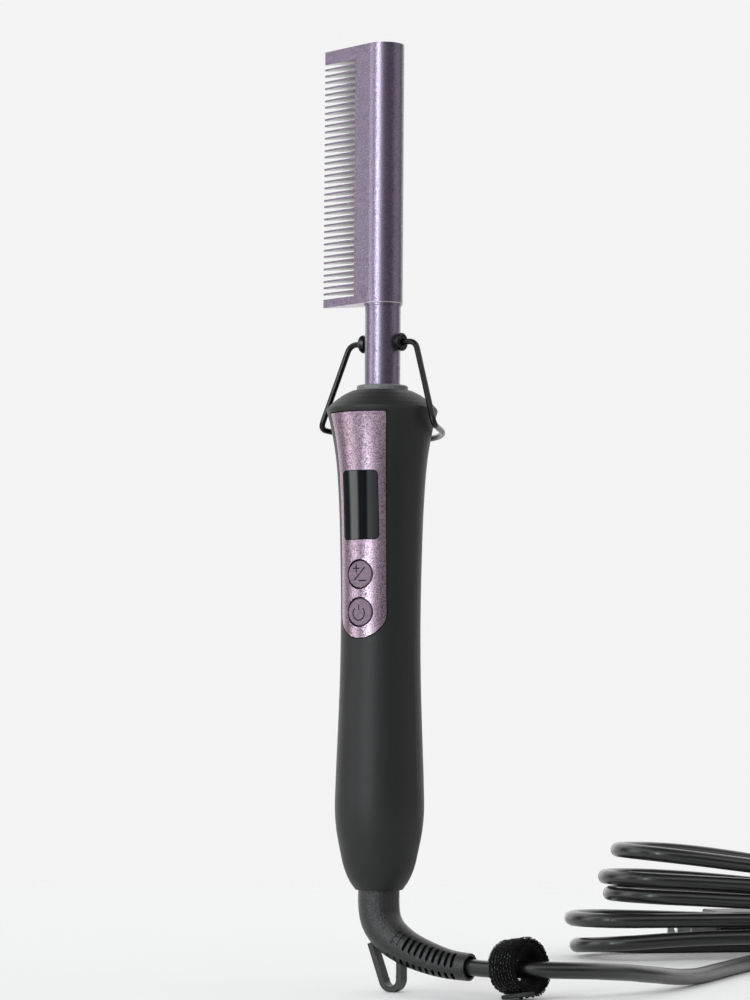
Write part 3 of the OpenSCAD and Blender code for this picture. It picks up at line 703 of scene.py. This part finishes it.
TIE_WIDTH = 10.4
TIE_R = 9.2
TIE_HEADING = radians(-11)
TIE_LEAN = radians(10)
TIE_AT = (53.4, 1.2, TIE_R * cos(TIE_LEAN) + TIE_WIDTH / 2 * sin(TIE_LEAN))
STRAP = 1.45
STRAP_TOP = STRAP / 2
INNER_LAYER = 7.0
OUTER_LAYER = TIE_R - STRAP / 2
# How much is taken off the strap's edges, across it and through it.
BEVEL_ACROSS = 0.3
BEVEL_THROUGH = 0.4
# The strap starts inside, winds down to the bottom and ends in a short flat tongue on the floor.
# Places along the wound part are in degrees from the bottom. Between STEP_FROM and STEP_TO the strap
# passes from the inner layer to the outer one.
WOUND_FROM = 635
WOUND_STEP = 5
STEP_FROM = 340
STEP_TO = 285
TONGUE = 4.6
TONGUE_STEPS = 4
TIE_SEED = 11

# Hooks stand in staggered rows over the outer layer. Each strays a little from its place.
HOOKS_FROM = 358
HOOKS_OVER = 356
HOOK_ROWS = 8
HOOK_PITCH = 1.27
HOOK_STEP = HOOK_PITCH / TIE_R * 180 / pi
HOOK_TUBE_R = 0.2
HOOK_SIDES = 5
HOOK_HEIGHTS = (0.3, 0.55)
STRAY_ALONG = 0.6
STRAY_ACROSS = 0.15
STRAY_LEAN = 2.5
# The foot of a hook is a little inside the strap. Then come its bends: degrees along the strap,
# distance above the hook's own height, and distance across.
HOOK_FOOT = (2.4, -0.1)
HOOK_BENDS = [(2.2, 0, 0), (-0.6, 0.12, 0.12), (-2.6, -0.2, 0.2)]

# Loose fibres stand out from the strap's two edges, each in a flat loop.
FIBRES = 620
FIBRES_TO = 8
FIBRE_HALF_LENGTHS = (2, 4)
FIBRE_ROOT = 0.09
FIBRE_OUT = 0.3
FIBRE_BULGE = 0.3
FIBRE_LEVEL = 0.6
FIBRE_TUBE_R = 0.12
FIBRE_SIDES = 3

# The places of the finishes on the tie.
TIE_FINISHES = ["tie_fabric", "tie_backing", "tie_hook"]
FABRIC, BACKING, HOOK = range(3)


def tie_point(way, out, across):
    """A point of the strap: way in degrees down to the bottom at 0 and then in mm along the tongue,
    distance out from its middle line, and place across it."""
    a = radians(max(way, 0))
    radius = INNER_LAYER + (OUTER_LAYER - INNER_LAYER) * ease(-STEP_FROM, -STEP_TO, -way) + out
    side = radius * sin(a) + min(way, 0)
    up = -radius * cos(a)
    x = across * cos(TIE_LEAN) - up * sin(TIE_LEAN)
    x0, y0, z0 = TIE_AT
    return on_axis(x0 + x * cos(TIE_HEADING) - side * sin(TIE_HEADING),
                   y0 + x * sin(TIE_HEADING) + side * cos(TIE_HEADING),
                   z0 + across * sin(TIE_LEAN) + up * cos(TIE_LEAN))


def add_strap(points, faces):
    """Adds the strap, and gives how many of its faces, the last ones, are the tongue's."""
    edge = TIE_WIDTH / 2
    inner = edge - BEVEL_ACROSS
    low = STRAP_TOP - BEVEL_THROUGH
    section = [(-edge, -low), (-inner, -STRAP_TOP), (inner, -STRAP_TOP), (edge, -low),
               (edge, low), (inner, STRAP_TOP), (-inner, STRAP_TOP), (-edge, low)]
    ways = list(range(WOUND_FROM, 0, -WOUND_STEP))
    ways += [-TONGUE * k / TONGUE_STEPS for k in range(TONGUE_STEPS + 1)]
    points += [tie_point(way, out, across) for way in ways for across, out in section]
    add_skin(faces, 0, len(ways), len(section))
    return TONGUE_STEPS * len(section) + 2


def add_hooks(points, faces, chance):
    for row in range(int(HOOKS_OVER / HOOK_STEP)):
        for k in range(HOOK_ROWS):
            way = HOOKS_FROM - row * HOOK_STEP + (k % 2) * HOOK_STEP / 2
            way += chance.uniform(-STRAY_ALONG, STRAY_ALONG)
            across = (k + 0.5) * TIE_WIDTH / HOOK_ROWS - TIE_WIDTH / 2
            across += chance.uniform(-STRAY_ACROSS, STRAY_ACROSS)
            lean = chance.uniform(-STRAY_LEAN, STRAY_LEAN)
            high = STRAP_TOP + chance.uniform(*HOOK_HEIGHTS)
            hook = [tie_point(way + HOOK_FOOT[0], STRAP_TOP + HOOK_FOOT[1], across)]
            hook += [tie_point(way + along + lean, high + up, across + aside)
                     for along, up, aside in HOOK_BENDS]
            add_tube(points, faces, hook, HOOK_TUBE_R * MM, HOOK_SIDES)


def add_fibres(points, faces, chance):
    for i in range(FIBRES):
        way = chance.uniform(FIBRES_TO, WOUND_FROM)
        level = chance.uniform(-FIBRE_LEVEL, FIBRE_LEVEL)
        reach = chance.uniform(*FIBRE_HALF_LENGTHS)
        bulge = chance.uniform(-FIBRE_BULGE, FIBRE_BULGE)
        side = 1 if i % 2 else -1
        root = side * (TIE_WIDTH / 2 - FIBRE_ROOT)
        out = side * (TIE_WIDTH / 2 + FIBRE_OUT)
        fibre = [tie_point(way - reach, level, root), tie_point(way, level + bulge, out),
                 tie_point(way + reach, level, root)]
        add_tube(points, faces, fibre, FIBRE_TUBE_R * MM, FIBRE_SIDES)


def make_tie():
    points, faces = [], []
    chance = random.Random(TIE_SEED)
    tongue_faces = add_strap(points, faces)
    strap_end = len(faces)
    add_hooks(points, faces, chance)
    hooks_end = len(faces)
    add_fibres(points, faces, chance)
    tie = mesh_object("tie_strap", points, faces)
    for finish in TIE_FINISHES:
        tie.data.materials.append(MATERIALS[finish])
    for face in tie.data.polygons:
        if strap_end - tongue_faces <= face.index < strap_end:
            face.material_index = BACKING
        elif strap_end <= face.index < hooks_end:
            face.material_index = HOOK
        else:
            face.material_index = FABRIC
    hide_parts("hook_loop_tie")
    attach(tie, "cord_swivel")
    return tie


# ---- Floor: pale paper that fades into the room, so that no horizon shows; in metres ----

FLOOR_SOLID = 0.3
FLOOR_FADED = 0.75


def add_floor():
    size = FLOOR_FADED
    corners = [(-size, -size, 0), (size, -size, 0), (size, size, 0), (-size, size, 0)]
    floor = mesh_object("floor", corners, [(0, 1, 2, 3)])
    s = Shader("floor_paper")
    s.set(roughness=0.9, specular=0.1)
    s.mottle((0.892, 0.889, 0.887), (0.897, 0.894, 0.892), 9, 2)
    length = s.node("ShaderNodeVectorMath", operation="LENGTH")
    s.link(s.place, length.inputs[0])
    s.link(s.span(length.outputs["Value"], 1, 0, FLOOR_SOLID, FLOOR_FADED), s.bsdf.inputs["Alpha"])
    floor.data.materials.append(s.material)


# ---- Light: all of it comes from the room, and the camera sees a plain backdrop instead ----

# Brightness of the walls: (degrees from the camera's side towards the right, level).
ROOM = [(-180, 1.5), (-142, 1.4), (-126, 1.1), (-116, 0.1), (-98, 0.12), (-89, 2.4), (-71, 2.4),
        (-64, 0.1), (-42, 0.06), (-36, 1.0), (-15, 0.55), (-6, 0.2), (10, 0.08), (60, 0.08),
        (62, 0.6), (104, 0.6), (108, 0.15), (124, 0.2), (136, 1.2)]
ROOM_TOP = 2.5
# The walls end between these sines of the elevation. Above them softboxes hang round a dark middle:
# (sine of the elevation, level).
ROOM_HEIGHT = (0.42, 0.62)
ABOVE = [(0.5, 1.5), (0.74, 1.5), (0.9, 0.2)]
# The key light is a tall strip with a gap: (degrees towards the right, share of its level) and
# (sine of the elevation, share of its level).
KEY_WIDE = [(-46, 0), (-41, 1), (-31, 1), (-26, 0)]
KEY_HIGH = [(-0.34, 0), (-0.24, 0.42), (-0.15, 0.42), (-0.1, 0),
            (0.02, 0), (0.06, 1), (0.42, 1), (0.6, 0)]
KEY_TINT = (0.86, 0.97, 1.0)
KEY_LEVEL = 13
BACKDROP = 0.9


def add_world():
    world = bpy.data.worlds.new("studio")
    bpy.context.scene.world = world
    world.use_nodes = True
    tree = world.node_tree
    tree.nodes.clear()
    n = Nodes(tree)
    turn = n.node("ShaderNodeMapping")
    turn.inputs["Rotation"].default_value = (0, 0, -CAMERA_AZIMUTH)
    n.link(n.node("ShaderNodeTexCoord").outputs["Generated"], turn.inputs["Vector"])
    way = n.split(turn.outputs["Vector"])
    angle = n.math("ARCTAN2", way["X"], n.math("MULTIPLY", way["Y"], -1))
    round_share = n.math("ADD", n.math("DIVIDE", angle, 2 * pi), 0.5)
    high_share = n.math("ADD", n.math("MULTIPLY", way["Z"], 0.5), 0.5)

    def levels(value, stops, full=ROOM_TOP, tint=(1, 1, 1)):
        """A ramp of brightness, where full is white."""
        return n.ramp(value, [(at, tuple(c * level / full for c in tint)) for at, level in stops])

    def around(stops):
        return [((degrees + 180) / 360, level) for degrees, level in stops]

    def background(color, strength):
        made = n.node("ShaderNodeBackground")
        n.fill([made.inputs["Color"], made.inputs["Strength"]], (color, strength))
        return made.outputs["Background"]

    walls = levels(round_share, around(ROOM))
    room = n.mix(n.span(way["Z"], 0, 1, *ROOM_HEIGHT), walls, levels(way["Z"], ABOVE))
    key_wide = levels(round_share, around(KEY_WIDE), 1, KEY_TINT)
    key_high = levels(high_share, [((sine + 1) / 2, level) for sine, level in KEY_HIGH], 1)
    key = n.mix(1, key_wide, key_high, "MULTIPLY")
    lights = n.node("ShaderNodeAddShader")
    n.fill(lights.inputs, (background(room, ROOM_TOP), background(key, KEY_LEVEL)))
    seen = n.node("ShaderNodeMixShader")
    backdrop = background((BACKDROP, BACKDROP, BACKDROP, 1), 1)
    camera_ray = n.node("ShaderNodeLightPath").outputs["Is Camera Ray"]
    n.fill(seen.inputs, (camera_ray, lights.outputs["Shader"], backdrop))
    n.link(seen.outputs["Shader"], n.node("ShaderNodeOutputWorld").inputs["Surface"])


def add_stage():
    add_floor()
    add_world()
    bpy.context.scene.view_settings.view_transform = "Standard"


make_materials()
add_camera()
add_stage()
dress_nodes()
make_joint_shade_lines()
make_rim_highlight()
make_sign("temperature_sign", "temperature_button", TEMPERATURE_SIGN)
make_sign("power_sign", "power_button", POWER_SIGN)
make_cord(make_tie())

bpy.context.view_layer.update()
